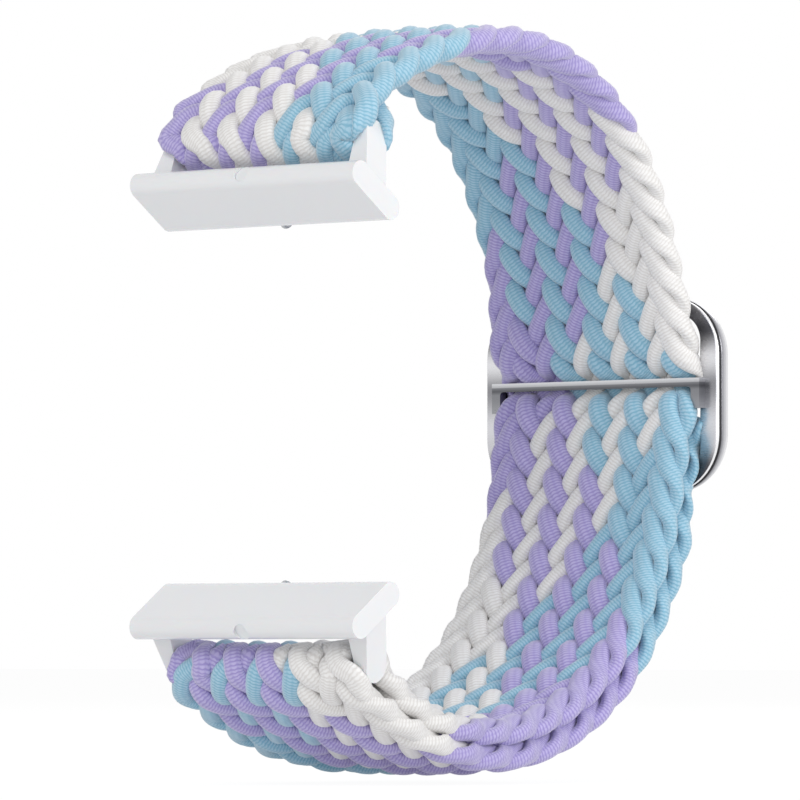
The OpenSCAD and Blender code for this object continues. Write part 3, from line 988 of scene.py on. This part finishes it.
def ringMesh(name):
    points, faces = [], []
    for share, y in ring["section"]:
        for x, z in ringOutline(share):
            depth = (y - ring["wristY"]) * (1 - ring["crown"] * (z / ring["halfHeight"][1]) ** 2)
            points.append((x * mm, (ring["wristY"] + depth) * mm, (z + ring["middleZ"]) * mm))
    around, along = len(ring["section"]), len(ringOutline(0))
    for i in range(around):
        for k in range(along):
            a, b = i * along, (i + 1) % around * along
            faces.append((a + k, b + k, b + (k + 1) % along, a + (k + 1) % along))
    return meshObject(name, points, faces)


buckleRing = ringMesh("buckle_ring")
buckleRing.data.materials.append(metals["polished_steel_ring_painted_reflection"])
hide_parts("buckle_frame")
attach(buckleRing, "buckle")

# sewing thread: rows of stitches that rise over the cords and dip between them

seam = {
    "stitches": 9,
    "pitch": 1.8,
    "radius": 0.12,
    "rise": 0.2,
    "dip": 0.35,
    "flatTop": 1.6,
    "samples": 16,  # for each stitch
    "sides": 8,
    "lapRows": (0.66, 0.9),  # shares of the lap's length
    "endRow": {"at": (49.47, -3.2), "out": (0.955, -0.297)},
}
threadLook = {
    "paintedShade": "#d9d7d3",
    "light": "#f3f2ef",
    "plies": 0.698,  # from ply to ply along the seam
    "relief": 0.03,
    "reliefStrength": 0.5,
    "roughness": 0.55,
    "ior": 1.5,
}


def threadMaterial():
    # twisted polyester thread: off-white, a little shine, plies wound round it, painted darker as shade in
    # the grooves between the plies
    made, tree = newMaterial("twisted_polyester_thread")
    spot = addNode(tree, "ShaderNodeTexCoord")
    # a diagonal wave repeats each 2 pi / 10 at scale 1
    scale = 2 * math.pi / 10 / (threadLook["plies"] * mm)
    plies = addNode(
        tree,
        "ShaderNodeTexWave",
        {"Vector": spot.outputs["Object"], "Scale": scale, "Distortion": 1.0},
        bands_direction="DIAGONAL",
    )
    # painted shade: the thread's colour goes darker in the grooves between the plies
    shade = addNode(
        tree,
        "ShaderNodeMix",
        {"Factor": plies.outputs[1], "A": linear(threadLook["paintedShade"]), "B": linear(threadLook["light"])},
        data_type="RGBA",
    )
    relief = addNode(
        tree,
        "ShaderNodeBump",
        {
            "Height": plies.outputs[1],
            "Distance": threadLook["relief"] * mm,
            "Strength": threadLook["reliefStrength"],
        },
    )
    body = addNode(
        tree,
        "ShaderNodeBsdfPrincipled",
        {
            "Base Color": shade.outputs[2],
            "Normal": relief.outputs[0],
            "Roughness": threadLook["roughness"],
            "IOR": threadLook["ior"],
        },
    )
    addNode(tree, "ShaderNodeOutputMaterial", {0: body.outputs[0]})
    return made


def seamThread(name, node, body, rows):
    # each row has a point of the side view and the way out of the braid there
    sides = seam["sides"]
    points, faces = [], []
    for (y, z), (ny, nz) in rows:
        first, count = len(points), seam["stitches"] * seam["samples"]
        half = seam["stitches"] * seam["pitch"] / 2
        path = []
        for i in range(count + 1):
            x = half * (2 * i / count - 1)
            wave = math.cos(2 * math.pi * (x + half) / seam["pitch"] - math.pi)
            off = seam["rise"] * min(1, seam["flatTop"] * wave) if wave > 0 else seam["dip"] * wave
            path.append(Vector((x, y + ny * off, z + nz * off)))
        side = Vector((0, -nz, ny))
        for i, spot in enumerate(path):
            ahead = (path[min(count, i + 1)] - path[max(0, i - 1)]).normalized()
            up = side.cross(ahead)
            for k in range(sides):
                a = 2 * math.pi * k / sides
                points.append((spot + (side * math.cos(a) + up * math.sin(a)) * seam["radius"]) * mm)
        for i in range(count):
            for k in range(sides):
                a, b = first + i * sides + k, first + i * sides + (k + 1) % sides
                faces.append((a, b, b + sides, a + sides))
    made = meshObject(name, points, faces)
    made.data.materials.append(threadMaterial())
    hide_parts(node)
    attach(made, body)


lapRows = []
for share in seam["lapRows"]:
    a = upperStop - lapAngle * share
    lapRows.append((polar(upperEndCentre, lapRadius - braid["turnThick"] / 2, a), polar((0, 0), -1, a)))
seamThread("lap_seam_thread", "upper_stitches", "band", lapRows)
seamThread("end_seam_thread", "end_stitches", "buckle", [(seam["endRow"]["at"], seam["endRow"]["out"])])
print("ring and thread are made")

# plastic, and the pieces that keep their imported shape

plasticLook = {
    "colour": "#e6e7e9",
    "roughness": 0.22,
    "glossSpan": (0.8, 1.2),  # of the roughness
    "ripple": 3.85,
    "rippleDetail": 2,
    "rippleDepth": 0.04,
    "rippleStrength": 0.1,
    "ior": 1.52,
    "glow": 0.1,  # share of light that goes a little way in
    "glowDepth": 0.8,
}


def plasticMaterial():
    # ABS, moulded and glossy: white with soft highlights and a faint moulding ripple
    made, tree = newMaterial("glossy_moulded_abs_white")
    spot = addNode(tree, "ShaderNodeTexCoord")
    flow = addNode(
        tree,
        "ShaderNodeTexNoise",
        {
            "Vector": spot.outputs["Object"],
            "Scale": 1 / (plasticLook["ripple"] * mm),
            "Detail": plasticLook["rippleDetail"],
        },
    )
    smooth, rough = (plasticLook["roughness"] * share for share in plasticLook["glossSpan"])
    gloss = addNode(tree, "ShaderNodeMapRange", {"Value": flow.outputs[0], "To Min": smooth, "To Max": rough})
    relief = addNode(
        tree,
        "ShaderNodeBump",
        {
            "Height": flow.outputs[0],
            "Distance": plasticLook["rippleDepth"] * mm,
            "Strength": plasticLook["rippleStrength"],
        },
    )
    body = addNode(
        tree,
        "ShaderNodeBsdfPrincipled",
        {
            "Base Color": linear(plasticLook["colour"]),
            "Roughness": gloss.outputs[0],
            "Normal": relief.outputs[0],
            "IOR": plasticLook["ior"],
            "Subsurface Weight": plasticLook["glow"],
            "Subsurface Scale": plasticLook["glowDepth"] * mm,
        },
    )
    addNode(tree, "ShaderNodeOutputMaterial", {0: body.outputs[0]})
    return made


def squashSpring(end):
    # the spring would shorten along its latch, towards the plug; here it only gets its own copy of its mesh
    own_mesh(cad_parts[end + "_latch_spring"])


def dress(node, material):
    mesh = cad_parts[node].data
    mesh.materials.clear()
    mesh.materials.append(material)


whitePlastic = plasticMaterial()
dress("end_pin", metals["polished_stainless_steel"])
dress("buckle_bar", metals["brushed_steel_bar_painted_light_and_shade"])
for end, sign in (("upper", 1), ("lower", -1)):
    dress(end + "_connector", whitePlastic)
    dress(end + "_pin", metals["polished_stainless_steel"])
    dress(end + "_latch", metals["brushed_stainless_steel"])
    dress(end + "_latch_plug", whitePlastic)
    dress(end + "_latch_spring", metals["drawn_spring_steel"])
    squashSpring(end)
print("metal, plastic and thread are finished")
